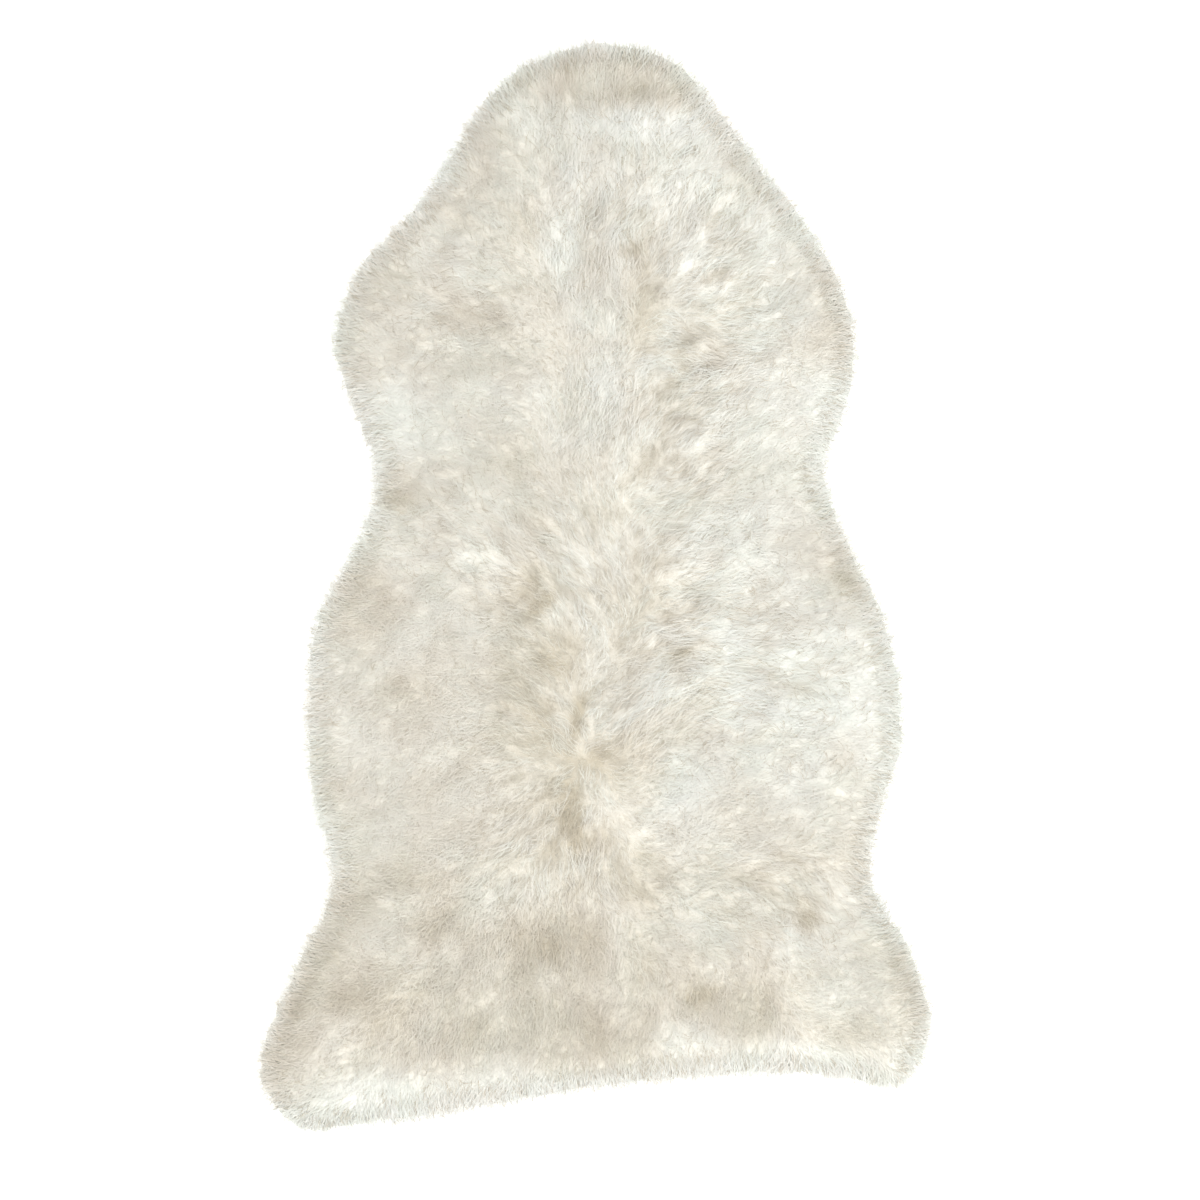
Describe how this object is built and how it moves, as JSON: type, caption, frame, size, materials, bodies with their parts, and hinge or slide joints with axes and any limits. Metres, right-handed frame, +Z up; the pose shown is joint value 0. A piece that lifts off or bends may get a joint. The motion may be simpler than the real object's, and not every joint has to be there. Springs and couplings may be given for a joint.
{
  "type": "sheepskin rug",
  "caption": "Flat sheepskin rug with a violin-like outline, long ivory wool combed out from a parting along the spine, and a plain tanned underside.",
  "frame": {"origin": "on the floor under the middle of the rug's box", "axes": "+Y along the spine towards the head end, +X towards the picture's right side, +Z up out of the wool"},
  "size_m": [0.6, 0.9676, 0.0543],
  "materials": {
    "ivory_wool": "matte",
    "tanned_hide": "matte"
  },
  "bodies": {
    "root": {"sheepskin": "ivory_wool"}
  },
  "joints": []
}
